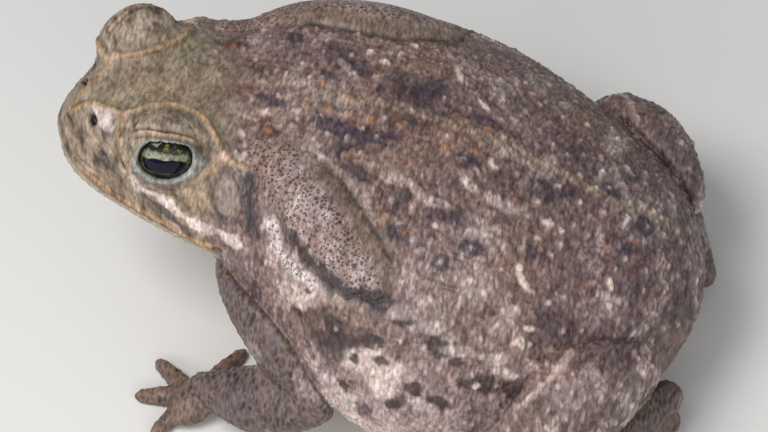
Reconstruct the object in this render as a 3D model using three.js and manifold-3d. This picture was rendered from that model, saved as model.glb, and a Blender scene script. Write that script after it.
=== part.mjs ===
// Cane toad, adult female, sitting at rest with its head turned to its left.
// Millimetres, +Z up, sitting on z = 0. The head points to -X and the toad's left side to -Y.
import * as THREE from 'three';
import { mergeVertices } from 'three/addons/utils/BufferGeometryUtils.js';
import Module from 'manifold-3d';

// Driving dimensions: the trunk runs along X from inside the neck to the vent
const NECK_X = -50;
const VENT_X = 75;
const HEAD_DEPTH = 56; // from the tip of the snout to the back of the skull, inside the neck
const EYE_RADIUS = 7.4;
const GAP = 0.3; // clearance between neighbouring pieces

// The head is one rigid form, placed by a point of its own frame and turned about it.
// In that frame x runs back from the tip of the snout and z is measured from the mouth.
const HEAD_PIVOT = [21.9, 0, 11.4];
const HEAD_PLACE = [-52.2, -5.2, 58.7];
const HEAD_TURN = 26; // degrees, snout to the toad's left
const HEAD_LIFT = 10.6; // degrees, snout up

// Colours
const SKIN = { color: '#7d6658', roughness: 0.72, metalness: 0 };
const GLAND = { color: '#a5796a', roughness: 0.68, metalness: 0 };
const LIMB = { color: '#86695c', roughness: 0.74, metalness: 0 };
const CORNEA = { color: '#1c2018', roughness: 0.08, metalness: 0 };

const wasm = await Module();
wasm.setup();

const { degToRad: radians, lerp, clamp, smoothstep } = THREE.MathUtils;

// A smooth curve through stations given as [x, value]
function profile(stations) {
  const at = stations.map((station) => station[0]);
  const values = stations.map((station) => station[1]);
  const cubic = new THREE.CubicInterpolant(at, values, 1);
  return (x) => cubic.evaluate(clamp(x, at[0], at.at(-1)))[0];
}

// Two forms of sections across x: their ends, their facets along and round, and how long the
// rounded ends are. Then half width, upper line, widest level and lower line, and how square each
// half of a section is, where 2 is an ellipse.
const HEAD = {
  from: 0,
  to: HEAD_DEPTH,
  lengthSteps: 15,
  roundSteps: 20,
  roundFront: 7,
  roundBack: 10,
  width: profile([[0, 11], [4, 12.4], [8, 15], [16, 20.8], [24, 26], [30, 29], [38, 31.3], [56, 31]]),
  top: profile([[0, 13.4], [3, 15.4], [6, 17.6], [10, 19.6], [14, 20.8], [21, 22], [32, 22.4], [44, 22],
    [56, 19]]),
  level: profile([[0, 5.5], [4, 3.4], [8, 1.8], [16, 0.5], [30, -2.6], [42, -4.6], [56, -5]]),
  bottom: profile([[0, -3.6], [6, -5], [14, -8.5], [28, -13], [42, -16.5], [56, -17]]),
  upperPower: profile([[0, 1.8], [10, 1.9], [22, 2.2], [32, 2.35], [44, 2.5], [56, 2.6]]),
  lowerPower: () => 2.1,
  lip: 1.8, // the upper lip overhangs the lower jaw by this
};
const TRUNK = {
  from: NECK_X,
  to: VENT_X,
  lengthSteps: 22,
  roundSteps: 24,
  roundFront: 14,
  roundBack: 17,
  width: profile([[-50, 23], [-38, 30.5], [-25, 40], [-11, 48], [5, 53.5], [21, 53.5], [37, 47],
    [51, 39], [63, 31], [75, 25]]),
  top: profile([[-50, 59], [-38, 64.5], [-26, 67.5], [-11, 68.5], [6, 67], [21, 63.5], [36, 58], [50, 52],
    [63, 46.5], [75, 38]]),
  level: profile([[-50, 48], [-36, 44], [-25, 40], [-11, 33], [5, 28], [30, 24], [50, 24], [75, 24]]),
  bottom: profile([[-50, 34], [-36, 27], [-24, 18], [-12, 7], [0, -1.5], [21, -3], [50, -2], [62, 2],
    [75, 8]]),
  upperPower: profile([[-50, 2.3], [-32, 2.7], [-8, 2.4], [20, 2.05], [75, 2]]),
  lowerPower: profile([[-50, 1.6], [-36, 1.4], [-15, 1.45], [10, 2.2], [75, 2.3]]),
  lip: 0,
};

// The front of the trunk leans to the toad's right, towards the back of the turned head
const NECK_LEAN = 6;
function onTrunk(x, y, z) {
  const lean = NECK_LEAN * (1 - smoothstep(x, -35, 5));
  return new THREE.Vector3(x, y + lean, z);
}

const headMatrix = new THREE.Matrix4()
  .makeTranslation(...HEAD_PLACE)
  .multiply(new THREE.Matrix4().makeRotationZ(radians(HEAD_TURN)))
  .multiply(new THREE.Matrix4().makeRotationY(radians(HEAD_LIFT)))
  .multiply(new THREE.Matrix4().makeTranslation(...HEAD_PIVOT.map((value) => -value)));
function onHead(x, y, z) {
  return new THREE.Vector3(x, y, z).applyMatrix4(headMatrix);
}

// A closed form whose surface is place(t, angle), with t from one end to the other
function loft(lengthSteps, roundSteps, place) {
  const geometry = new THREE.SphereGeometry(1, roundSteps, lengthSteps);
  const { position, uv } = geometry.attributes;
  for (let i = 0; i < position.count; i += 1) {
    const t = 1 - uv.getY(i);
    const onPole = t < 1e-6 || t > 1 - 1e-6;
    const point = place(t, onPole ? 0 : uv.getX(i) * 2 * Math.PI);
    position.setXYZ(i, point.x, point.y, point.z);
  }
  return closed(geometry);
}

// Merges the shared vertices and turns the faces outward
function closed(geometry) {
  geometry.deleteAttribute('normal');
  geometry.deleteAttribute('uv');
  const merged = mergeVertices(geometry, 1e-4);
  if (signedVolume(merged) < 0) {
    const index = merged.index.array;
    for (let i = 0; i < index.length; i += 3) {
      [index[i], index[i + 1]] = [index[i + 1], index[i]];
    }
  }
  return merged;
}

function signedVolume(geometry) {
  const index = geometry.index.array;
  const corner = (i) => new THREE.Vector3().fromBufferAttribute(geometry.attributes.position, index[i]);
  let volume = 0;
  for (let i = 0; i < index.length; i += 3) {
    volume += corner(i).dot(corner(i + 1).cross(corner(i + 2))) / 6;
  }
  return volume;
}

function toSolid(geometry) {
  return new wasm.Manifold(new wasm.Mesh({
    numProp: 3,
    vertProperties: new Float32Array(geometry.attributes.position.array),
    triVerts: new Uint32Array(geometry.index.array),
  }));
}

function toGeometry(solid) {
  const mesh = solid.getMesh();
  const geometry = new THREE.BufferGeometry();
  geometry.setAttribute('position', new THREE.BufferAttribute(mesh.vertProperties, 3));
  geometry.setIndex(new THREE.BufferAttribute(mesh.triVerts, 1));
  return geometry;
}

function rounded(distance, length) {
  return Math.sqrt(1 - (1 - clamp(distance / length, 0, 1)) ** 2);
}

// Head or trunk from its profiles, swollen all round by grow
function bodyForm(shape, place, grow) {
  const power = (value, exponent) => Math.sign(value) * Math.abs(value) ** exponent;
  return toSolid(loft(shape.lengthSteps, shape.roundSteps, (t, angle) => {
    const x = lerp(shape.from, shape.to, 0.5 - 0.5 * Math.cos(Math.PI * t));
    const front = rounded(x - shape.from, shape.roundFront);
    const closing = Math.min(front, rounded(shape.to - x, shape.roundBack));
    const upper = Math.sin(angle) > -1e-6;
    const exponent = 2 / (upper ? shape.upperPower(x) : shape.lowerPower(x));
    const width = shape.width(x) + grow - (upper ? 0 : shape.lip);
    const level = shape.level(x);
    const height = (upper ? shape.top(x) - level : level - shape.bottom(x)) + grow;
    const reach = grow * -Math.cos(Math.PI * t);
    return place(
      x + reach,
      width * power(Math.cos(angle), exponent) * closing,
      level + height * power(Math.sin(angle), exponent) * closing,
    );
  }));
}

// A limb along stations [x, y, z, half width, half depth], with rounded ends
function limbForm(stations, { grow = 0, lengthSteps = 9, roundSteps = 10 } = {}) {
  const path = new THREE.CatmullRomCurve3(stations.map(([x, y, z]) => new THREE.Vector3(x, y, z)));
  const last = stations.length - 1;
  const size = (t, part) => {
    const i = Math.min(Math.floor(t * last), last - 1);
    return grow + lerp(stations[i][part], stations[i + 1][part], smoothstep(t * last - i, 0, 1));
  };
  const reference = new THREE.Vector3(0, 0, 1);
  return toSolid(loft(lengthSteps, roundSteps, (t, angle) => {
    const along = 0.5 - 0.5 * Math.cos(Math.PI * t);
    const tangent = path.getTangent(along);
    const side = new THREE.Vector3().crossVectors(tangent, reference).normalize();
    const top = new THREE.Vector3().crossVectors(side, tangent);
    const closing = Math.sin(Math.PI * t) ** 0.6;
    const endReach = size(along, 4) * 0.6 * -(Math.cos(Math.PI * t) ** 5);
    return path.getPoint(along)
      .addScaledVector(tangent, endReach)
      .addScaledVector(side, size(along, 3) * Math.cos(angle) * closing)
      .addScaledVector(top, size(along, 4) * Math.sin(angle) * closing);
  }));
}

// An ellipsoid with half axes along, across and up in the frame of place
function ellipsoid(place, [x, y, z], [along, across, up], { grow = 0, steps = 8 } = {}) {
  return toSolid(loft(steps, steps + 4, (t, angle) => {
    const ring = Math.sin(Math.PI * t);
    return place(
      x - (along + grow) * Math.cos(Math.PI * t),
      y + (across + grow) * ring * Math.cos(angle),
      z + (up + grow) * ring * Math.sin(angle),
    );
  }));
}

function mirrored([x, y, ...rest], side) {
  return [x, side * y, ...rest];
}

// A bony ridge under the skin of the head through points [x, y, z] of one side
function ridge(points, radius, side) {
  const stations = points.map((point) => [...onHead(...mirrored(point, side)), radius, radius]);
  return limbForm(stations, { lengthSteps: 5, roundSteps: 5 });
}

// The corners of the eye socket's rim, which its ridges share
const FRONT_CORNER = [12, 8.7, 19.8];
const REAR_CORNER = [31.9, 20.2, 17.6];

// Places and half axes of the rounded features of one side of the head
const EYE_CENTRE = [20, 15.8, 16.9];
const EYELID = { place: EYE_CENTRE, size: [9.3, 8.8, 8.5], steps: 7 };
const EYE_OPENING = { place: [18.6, 25, 19.5], size: [8.3, 6.3, 6.3], steps: 6 };
const NOSE = { place: [5.8, 5, 15], size: [3, 2.6, 2.4], steps: 4 };
const EARDRUM = { place: [33.6, 23.8, 11.6], size: [4.6, 3.4, 5.4], steps: 5 };

function onOneSide({ place, size, steps }, side, grow = 0) {
  return ellipsoid(onHead, mirrored(place, side), size, { grow, steps });
}

function eyeball(side, grow = 0) {
  return onOneSide({ place: EYE_CENTRE, size: Array(3).fill(EYE_RADIUS), steps: 7 }, side, grow);
}

// Crests, eyelid, nostril and cheek of one side
function headFeatures(side) {
  const brow = [FRONT_CORNER, [17.5, 8.6, 21.2], [23, 9.5, 22.2], [28.4, 12.7, 21.8], REAR_CORNER];
  const canthus = [FRONT_CORNER, [7, 4, 17.4], [3, 1.4, 14]];
  const preorbital = [FRONT_CORNER, [10.5, 14, 16.2], [11.2, 18, 10.5]];
  const postorbital = [REAR_CORNER, [30.6, 21.8, 15.6], [28, 23.6, 12.5]];
  const overEardrum = [REAR_CORNER, [35, 22.4, 17.4], [38.5, 24.6, 16]];
  return [
    ridge(brow, 1.5, side),
    ridge(canthus, 1.2, side),
    ridge(preorbital, 1.1, side),
    ridge(postorbital, 1.2, side),
    ridge(overEardrum, 1.4, side),
    ...[EYELID, NOSE, EARDRUM].map((feature) => onOneSide(feature, side)),
  ];
}

// Parotoid gland: a long bean from behind the eardrum to above the shoulder
function parotoid(side, grow = 0) {
  const stations = [[-29, 18, 58.5, 5.5, 6], [-20.5, 22, 58.5, 8.2, 8.5], [-11.5, 26, 57, 9.3, 9.5],
    [-2, 31, 54, 8.5, 9], [7, 35.5, 50.5, 5.5, 6.5]];
  return limb(stations, side, { grow });
}

// Joints of the legs and half sizes there, for the side where y is positive
const SHOULDER = [-27, 31, 37, 11, 12];
const ELBOW = [-1, 48, 24, 7.8, 8.8];
const WRIST = [-34, 47, 8, 5.2, 5];
const HIP = [61, 25, 27.5, 14, 15.5];
const KNEE = [34, 44, 18, 8.8, 11];
const HEEL = [71, 19, 9.5, 6.5, 7.5];
const ANKLE = [57, 38, 3.2, 6, 4.2];

function limb(stations, side, options) {
  return limbForm(stations.map(([x, y, z, ...size]) => [...onTrunk(x, side * y, z), ...size]), options);
}

function upperArm(side, grow) {
  return limb([SHOULDER, [-12, 42, 32, 9.8, 11], ELBOW], side, { grow });
}

function forearm(side, grow) {
  return limb([[-3, 48.5, 21, 7, 7.5], [-17, 50, 15.5, 8.2, 8], WRIST], side, { grow });
}

function thigh(side, grow) {
  return limb([HIP, [49, 36, 26, 14.3, 15.5], KNEE], side, { grow, roundSteps: 12 });
}

function shank(side, grow) {
  return limb([[37, 47, 13, 7, 9], [55, 37, 13, 9.5, 10.5], HEEL], side, { grow, roundSteps: 12 });
}

// Digits from a root to each tip given as [x, y, radius], lying flat on the floor
function digits(tips, root, side) {
  return tips.map(([x, y, radius]) => {
    const start = [...root, radius * 1.3, radius * 1.2];
    const knuckle = [(x + root[0]) / 2, (y + root[1]) / 2, radius * 0.85, radius, radius];
    const tip = [x, y, radius * 0.55, radius * 0.9, radius * 0.8];
    return limb([start, knuckle, tip], side, { lengthSteps: 4, roundSteps: 6 });
  });
}

// Facets of a palm or a tarsus
const PAD = { lengthSteps: 8, roundSteps: 8 };

// Four blunt fingers turned inward
const FINGER_TIPS = [[-28, 28, 2.2], [-48, 37, 2.3], [-50, 48.5, 2.4], [-43, 59, 2.2]];
function hand(side) {
  const stations = [[-32, 48, 7, 6, 5.2], [-35.5, 47.5, 3.8, 8.5, 4.6], [-38.5, 46.5, 2.4, 7.5, 3.2]];
  const palm = limb(stations, side, PAD);
  return [palm, ...digits(FINGER_TIPS, [-36, 46, 2.4], side)];
}

// Five toes, the fourth the longest
const TOE_TIPS = [[49, 30, 1.9], [41, 44, 2], [33, 57, 2.1], [30, 70, 2.2], [46, 68, 2]];
function foot(side) {
  const tarsus = limb([[72, 22, 5, 5, 5.4], [65, 30, 4, 5.5, 4.8], ANKLE], side, PAD);
  return [tarsus, ...digits(TOE_TIPS, [57, 38, 2.4], side)];
}

function joined(solids) {
  return solids.reduce((whole, piece) => whole.add(piece));
}

function without(solid, rooms) {
  return rooms.reduce((rest, room) => rest.subtract(room), solid);
}

const HALF_SPACE = 400;
const overFloor = toSolid(closed(new THREE.BoxGeometry(HALF_SPACE, HALF_SPACE, HALF_SPACE)))
  .translate([0, 0, HALF_SPACE / 2]);
const toad = new THREE.Group();
function addNode(name, solid, look) {
  const mesh = new THREE.Mesh(toGeometry(solid.intersect(overFloor)), new THREE.MeshStandardMaterial(look));
  mesh.name = name;
  toad.add(mesh);
}

const headForm = (grow) => bodyForm(HEAD, onHead, grow);
const trunkForm = (grow) => bodyForm(TRUNK, onTrunk, grow);
const headRoom = headForm(GAP);
const trunkRoom = trunkForm(GAP);
let head = headForm(0);
let trunk = trunkForm(0).subtract(headRoom);

for (const [name, side] of Object.entries({ left: -1, right: 1 })) {
  const features = joined(headFeatures(side));
  const glandRoom = parotoid(side, GAP);
  const upperArmRoom = upperArm(side, GAP);
  const thighRoom = thigh(side, GAP);
  const shankRoom = shank(side, GAP);
  const bodyRooms = [trunkRoom, headRoom, glandRoom];
  const eyeRooms = [eyeball(side, GAP), onOneSide(EYE_OPENING, side)];
  head = without(head.add(features.subtract(trunkRoom)), [...eyeRooms, glandRoom]);
  trunk = without(trunk, [glandRoom]);
  addNode(`eye_${name}`, eyeball(side), CORNEA);
  addNode(`parotoid_${name}`, parotoid(side), GLAND);
  addNode(`upper_arm_${name}`, without(upperArm(side), bodyRooms), LIMB);
  addNode(`forearm_${name}`, without(forearm(side), [...bodyRooms, upperArmRoom]), LIMB);
  addNode(`hand_${name}`, without(joined(hand(side)), [...bodyRooms, forearm(side, GAP)]), LIMB);
  addNode(`thigh_${name}`, without(thigh(side), bodyRooms), LIMB);
  addNode(`shank_${name}`, without(shank(side), [...bodyRooms, thighRoom]), LIMB);
  addNode(`foot_${name}`, without(joined(foot(side)), [...bodyRooms, thighRoom, shankRoom]), LIMB);
}
addNode('head', head, SKIN);
addNode('trunk', trunk, SKIN);

// The origin is the middle of the footprint, at the floor
const bounds = new THREE.Box3().setFromObject(toad);
const middle = bounds.getCenter(new THREE.Vector3());
toad.position.set(-middle.x, -middle.y, -bounds.min.z);

export default toad;
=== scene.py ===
import math

import bpy
import numpy as np
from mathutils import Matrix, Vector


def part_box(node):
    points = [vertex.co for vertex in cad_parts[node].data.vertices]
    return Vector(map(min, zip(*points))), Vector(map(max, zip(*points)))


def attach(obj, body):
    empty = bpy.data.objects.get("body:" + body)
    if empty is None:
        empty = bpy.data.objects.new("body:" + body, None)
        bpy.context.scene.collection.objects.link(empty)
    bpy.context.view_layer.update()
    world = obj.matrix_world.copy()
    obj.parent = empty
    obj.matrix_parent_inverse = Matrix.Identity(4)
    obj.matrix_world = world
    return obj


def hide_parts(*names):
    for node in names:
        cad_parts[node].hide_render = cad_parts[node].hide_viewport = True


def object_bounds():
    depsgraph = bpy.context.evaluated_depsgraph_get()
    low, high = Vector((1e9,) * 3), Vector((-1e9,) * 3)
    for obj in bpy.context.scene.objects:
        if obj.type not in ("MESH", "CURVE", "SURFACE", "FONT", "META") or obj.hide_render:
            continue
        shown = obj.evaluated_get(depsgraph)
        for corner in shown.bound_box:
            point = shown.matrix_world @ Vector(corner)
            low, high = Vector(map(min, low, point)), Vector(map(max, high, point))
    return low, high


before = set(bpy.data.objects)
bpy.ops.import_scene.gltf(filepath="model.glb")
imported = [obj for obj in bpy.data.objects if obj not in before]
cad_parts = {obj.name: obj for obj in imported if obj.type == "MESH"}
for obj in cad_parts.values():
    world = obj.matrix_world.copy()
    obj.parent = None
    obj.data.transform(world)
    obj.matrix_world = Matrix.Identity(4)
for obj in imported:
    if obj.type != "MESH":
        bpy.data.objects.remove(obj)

import openvdb as vdb
from mathutils import Vector
from mathutils.kdtree import KDTree

CAD_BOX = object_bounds()
MM = 0.001
LEFT, RIGHT = -1, 1
BOTH = (LEFT, RIGHT)
SIDES = {"left": LEFT, "right": RIGHT}
RANDOM = np.random.default_rng(7)

# The view of the photo, whose size is 768 by 432 pixels
PHOTO_SIZE = (768, 432)
CAMERA_TARGET = (-0.25, -3, 35)
CAMERA_DISTANCE = 800
CAMERA_AZIMUTH = 14
CAMERA_ELEVATION = 50
PIXELS_PER_RADIAN = 3488

# The head's own frame: x runs back from the tip of the snout, z up from the mouth
HEAD_PIVOT = np.array([21.9, 0, 11.4])
HEAD_TURN = 26
HEAD_LIFT = 10.6
EYE_CENTRE = np.array([20, 15.8, 16.9])
EYE_RADIUS = 7.4

# The distance grid
STEP = 0.4
COARSE_STEP = 1.2
GAP_CLOSING = 0.25
JOIN_STEP = 0.6
JOIN_MARGIN = 1.5
# A distance past every shape's reach
FAR = 9.0


# Vectors and noise

def smooth(value, low, high):
    """0 at low, 1 at high, with a smooth rise between."""
    t = np.clip((value - low) / (high - low), 0, 1)
    return t * t * (3 - 2 * t)


def bump(distance, width):
    """1 at distance 0, falling smoothly to 0 at width."""
    t = np.clip(1 - (distance / width) ** 2, 0, 1)
    return t * t


# Odd numbers that mix whole numbers well
AXIS_MIXERS = (73856093, 19349663, 83492791)
SEED_MIXER = 2654435761
MIXERS = (1274126177, 2246822519)
HASH_RANGE = 2 ** 24


def hashed(places, seed):
    """A repeatable number from 0 to 1 for each row of whole numbers."""
    x, y, z = (places * AXIS_MIXERS).T
    mixed = x ^ y ^ z ^ seed * SEED_MIXER
    mixed = (mixed ^ (mixed >> 13)) * MIXERS[0] & 0xFFFFFFFF
    mixed = (mixed ^ (mixed >> 16)) * MIXERS[1] & 0xFFFFFFFF
    return (mixed ^ (mixed >> 15) & 0xFFFFFF) % HASH_RANGE / HASH_RANGE


def noise(points, size, seed):
    """Smooth noise from -1 to 1 with features about size across."""
    scaled = points / size
    base = np.floor(scaled).astype(np.int64)
    f = scaled - base
    f = f * f * (3 - 2 * f)
    total = np.zeros(len(points))
    for corner in np.ndindex(2, 2, 2):
        weight = np.prod(np.where(corner, f, 1 - f), axis=1)
        total += weight * hashed(base + np.array(corner), seed)
    return total * 2 - 1


def fractal(points, size, seed, octaves=3):
    total = sum(noise(points, size / 2 ** i, seed + i) / 2 ** i for i in range(octaves))
    return total / (2 - 2 ** (1 - octaves))


def cells(points, size, seed):
    """Distances to the two nearest of scattered points, in sizes, and the nearest one's number."""
    scaled = points / size
    base = np.floor(scaled).astype(np.int64)
    first = np.full(len(points), FAR)
    second = first.copy()
    name = np.zeros(len(points))
    for offset in np.ndindex(3, 3, 3):
        cell = base + np.array(offset) - 1
        site = cell + np.stack([hashed(cell, seed + i) for i in range(3)], axis=1)
        distance = np.linalg.norm(scaled - site, axis=1)
        nearer = distance < first
        second = np.where(nearer, first, np.minimum(second, distance))
        name = np.where(nearer, hashed(cell, seed + 3), name)
        first = np.where(nearer, distance, first)
    return first, second, name


# Distance fields: a box of distances to a surface, negative inside

class Field:
    def __init__(self, low, values, step):
        self.low = np.array(low)
        self.values = values
        self.step = step

    def at(self, points):
        """The distance at each point, and the largest one outside the box."""
        place = points / self.step - self.low
        inside = np.flatnonzero(np.all((place >= 0) & (place < np.array(self.values.shape) - 1), axis=1))
        base = place[inside].astype(int)
        f = place[inside] - base
        total = np.full(len(points), float(self.values.max()))
        total[inside] = 0
        for corner in np.ndindex(2, 2, 2):
            weight = np.prod(np.where(corner, f, 1 - f), axis=1)
            total[inside] += weight * self.values[tuple((base + np.array(corner)).T)]
        return total


def polygons(names):
    """The points and triangles of some of the frame's nodes."""
    points = []
    faces = []
    count = 0
    for name in names:
        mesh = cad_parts[name].data
        mesh.calc_loop_triangles()
        points.append(np.array([vertex.co for vertex in mesh.vertices], np.float32) / MM)
        faces.append(np.array([face.vertices for face in mesh.loop_triangles]) + count)
        count += len(mesh.vertices)
    return np.concatenate(points).astype(np.float32), np.concatenate(faces).astype(np.uint32)


def level_set(points, triangles, quads, step, margin):
    """A grid of distances to a mesh, out to a margin."""
    return vdb.FloatGrid.createLevelSetFromPolygons(
        points, triangles=triangles, quads=quads,
        transform=vdb.createLinearTransform(voxelSize=step), halfWidth=margin / step)


def field_of(names, step, margin, below=True):
    """The distances to nodes joined over the gaps between them.

    With below, the floor mirrors them, so that smoothing leaves their feet whole."""
    points, faces = polygons(names)
    no_quads = np.zeros((0, 4), np.uint32)
    gappy = level_set(points, faces, no_quads, min(step, JOIN_STEP), JOIN_MARGIN)
    points, faces, quads = gappy.convertToPolygons(isovalue=GAP_CLOSING, adaptivity=0)
    grid = level_set(points, faces, quads, step, margin)
    low = np.floor((points.min(0) - margin) / step).astype(int)
    high = np.ceil((points.max(0) + margin) / step).astype(int)
    if below:
        low[2] = max(min(low[2], -math.ceil(margin / step)), -max(high[2], 1))
    values = np.empty(high - low + 1, np.float32)
    grid.copyToArray(values, ijk=tuple(int(i) for i in low))
    values += GAP_CLOSING
    if below:
        values[:, :, :-low[2]] = values[:, :, -low[2] + 1:1 - 2 * low[2]][:, :, ::-1]
    return Field(low, values, step)


def blurred(field, reach):
    """The field smoothed by a bell curve reach millimetres wide."""
    sigma = reach / field.step
    radius = math.ceil(2.6 * sigma)
    kernel = np.exp(-0.5 * (np.arange(-radius, radius + 1) / sigma) ** 2)
    kernel = (kernel / kernel.sum()).astype(np.float32)
    values = field.values
    for axis in range(3):
        pad = [(radius, radius) if i == axis else (0, 0) for i in range(3)]
        wide = np.pad(values, pad, mode="edge")
        size = values.shape[axis]
        values = sum(w * np.take(wide, range(i, i + size), axis=axis) for i, w in enumerate(kernel))
    return Field(field.low, values, field.step)


def finer(field, step):
    """The same field on a finer grid."""
    if field.step == step:
        return field
    low = np.ceil(field.low * field.step / step).astype(int)
    high = np.floor((field.low + np.array(field.values.shape) - 1) * field.step / step).astype(int)
    values = field.values
    for axis in range(3):
        place = np.arange(low[axis], high[axis] + 1) * step / field.step - field.low[axis]
        base = np.minimum(place.astype(int), values.shape[axis] - 2)
        shape = [-1 if i == axis else 1 for i in range(3)]
        f = (place - base).reshape(shape).astype(np.float32)
        values = np.take(values, base, axis=axis) * (1 - f) + np.take(values, base + 1, axis=axis) * f
    return Field(low, values, step)


def melded(a, b, softness):
    """The distances to two shapes joined with a fillet about softness wide."""
    blend = np.maximum(softness - np.abs(a - b), 0)
    return np.minimum(a, b) - blend * blend / (4 * softness)


def join(whole, part, softness, grow=0.0):
    """Joins part to whole, with a fillet."""
    low = np.maximum(whole.low, part.low)
    high = np.minimum(whole.low + whole.values.shape, part.low + part.values.shape)
    here = tuple(slice(a, b) for a, b in zip(low - whole.low, high - whole.low))
    there = tuple(slice(a, b) for a, b in zip(low - part.low, high - part.low))
    whole.values[here] = melded(whole.values[here], part.values[there] - grow, softness)


def region(field, low, high):
    """The points of a box of the field, and the slices that cut it out."""
    start = np.maximum(np.floor(np.array(low) / field.step).astype(int) - field.low, 0)
    end = np.minimum(np.ceil(np.array(high) / field.step).astype(int) - field.low + 1, field.values.shape)
    here = tuple(slice(a, b) for a, b in zip(start, end))
    axes = [(np.arange(a, b) + shift) * field.step for a, b, shift in zip(start, end, field.low)]
    return np.stack(np.meshgrid(*axes, indexing="ij"), axis=-1), here


# The head's frame

def turn(axis, degrees):
    """The matrix of a turn about the Z or the Y axis."""
    c, s = math.cos(math.radians(degrees)), math.sin(math.radians(degrees))
    if axis == "Z":
        return np.array([[c, -s, 0], [s, c, 0], [0, 0, 1]])
    return np.array([[c, 0, s], [0, 1, 0], [-s, 0, c]])


HEAD_AXES = turn("Z", HEAD_TURN) @ turn("Y", HEAD_LIFT)


def head_place():
    """Where the head's pivot lies, found from the two eyes of the frame."""
    middles = [sum(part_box(node), Vector()) / 2 / MM for node in ("eye_left", "eye_right")]
    between = np.array(sum(middles, Vector()) / 2)
    return between - HEAD_AXES @ (EYE_CENTRE * (1, 0, 1) - HEAD_PIVOT)


HEAD_PLACE = head_place()


def on_head(point):
    return HEAD_AXES @ (np.asarray(point, float) - HEAD_PIVOT) + HEAD_PLACE


def to_head(points):
    return (points - HEAD_PLACE) @ HEAD_AXES + HEAD_PIVOT


def mirrored(point, side):
    return np.asarray(point, float) * (1, side, 1)


# The eye's opening: across, up and out from the middle of the eyeball, for the side where y is positive
EYE_OUT = np.array([-0.17, 0.94, 0.28])
EYE_OUT = EYE_OUT / np.linalg.norm(EYE_OUT)
EYE_ACROSS = np.cross([0, 0, 1], EYE_OUT)
EYE_ACROSS = EYE_ACROSS / np.linalg.norm(EYE_ACROSS)
EYE_UP = np.cross(EYE_OUT, EYE_ACROSS)
OPENING_WIDTH = 6.5
OPENING_UPPER = 5.5
OPENING_LOWER = 4.5
UPPER_POWER = 2.6
LOWER_POWER = 2
# The rim round the opening: how far out of it, how far over the eyeball, and how thick
RIM_OUT = 0.45
RIM_OVER = 0.5
RIM_RADIUS = 0.75
# The eyeball's own room, and how far from its middle the opening starts
SOCKET_RADIUS = EYE_RADIUS - 0.15
OPENING_DEPTH = 1.5
# The near eye is drawn in a little, so its dome is lower
LID_DOMES = {LEFT: np.array([9.2, 8.3, 7.9]), RIGHT: np.array([9.4, 9.4, 10.1])}


def eye_frame(points, side):
    """Points in the eye's own axes: across (negative is back), up and out."""
    local = to_head(points) * (1, side, 1) - EYE_CENTRE
    return local @ np.stack([EYE_ACROSS, EYE_UP, EYE_OUT], axis=1)


def opening_edge(across, up):
    """Negative inside the opening between the lids."""
    height = np.where(up > 0, OPENING_UPPER, OPENING_LOWER)
    power = np.where(up > 0, UPPER_POWER, LOWER_POWER)
    reach = np.abs(across / OPENING_WIDTH) ** power + np.abs(up / height) ** power
    return (reach ** (1 / power) - 1) * OPENING_LOWER


def carve_eye(field, side):
    """Raises the lids over the eyeball and opens them."""
    centre = on_head(mirrored(EYE_CENTRE, side))
    points, here = region(field, centre - 14, centre + 14)
    shape = points.shape[:3]
    local = eye_frame(points.reshape(-1, 3), side)
    radius = np.linalg.norm(local, axis=1)
    in_head = to_head(points.reshape(-1, 3)) * (1, side, 1) - EYE_CENTRE
    dome = (np.linalg.norm(in_head / LID_DOMES[side], axis=1) - 1) * LID_DOMES[side].min()
    edge = opening_edge(local[:, 0], local[:, 1])
    from_edge = np.where(local[:, 2] > 0, edge - RIM_OUT, FAR)
    rim = np.hypot(from_edge, radius - EYE_RADIUS - RIM_OVER) - RIM_RADIUS
    hole = np.maximum(edge, OPENING_DEPTH - local[:, 2])
    value = melded(field.values[here].reshape(-1), dome, 2)
    value = melded(np.maximum(value, -hole), rim, 0.8)
    value = np.maximum(value, SOCKET_RADIUS - radius)
    field.values[here] = value.reshape(shape)


# The skin's form

# For each part of a limb: its nodes, then in mm the grid's step and margin, the smoothing, the fillet
# and the growth that makes up for the smoothing
LIMB_PARTS = (
    (("upper_arm", "forearm"), 0.8, 5, 1.6, 1.2, 0.45),
    (("hand",), STEP, 4, 0.7, 1.6, 0.2),
    (("thigh",), 0.8, 5, 1.8, 1, 0.5),
    (("shank",), 0.8, 5, 1.6, 1, 0.4),
    (("foot",), STEP, 4, 0.7, 1.4, 0.2))


def add(whole, names, step, margin, smoothing, fillet, growth=0.0):
    """Joins nodes to the whole, smoothed."""
    part = blurred(field_of(names, step, margin), smoothing)
    join(whole, finer(part, STEP), fillet, growth)


def body_field():
    """The distances to the toad's smooth form, with its eyelids."""
    low, high = (np.array(corner) / MM for corner in CAD_BOX)
    start = np.floor((low - 3) / STEP).astype(int)
    end = np.ceil((high + 3) / STEP).astype(int)
    whole = Field(start, np.full(end - start + 1, FAR, np.float32), STEP)
    eyes = ["eye_left", "eye_right"]
    add(whole, ["trunk", "head", "parotoid_left", "parotoid_right", *eyes], COARSE_STEP, 14, 3.6, 1)
    add(whole, ["head", *eyes], 0.8, 6, 1.7, 2.5, 0.15)
    for name in SIDES:
        add(whole, [f"parotoid_{name}"], 0.8, 5, 1.5, 2, 0.3)
    whole = blurred(whole, 0.6)
    for side in BOTH:
        carve_eye(whole, side)
    for name in SIDES:
        for parts, *sizes in LIMB_PARTS:
            add(whole, [f"{part}_{name}" for part in parts], *sizes)
    height = (np.arange(whole.values.shape[2]) + whole.low[2]) * STEP
    whole.values = np.maximum(whole.values, -height.astype(np.float32))
    return whole


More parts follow.
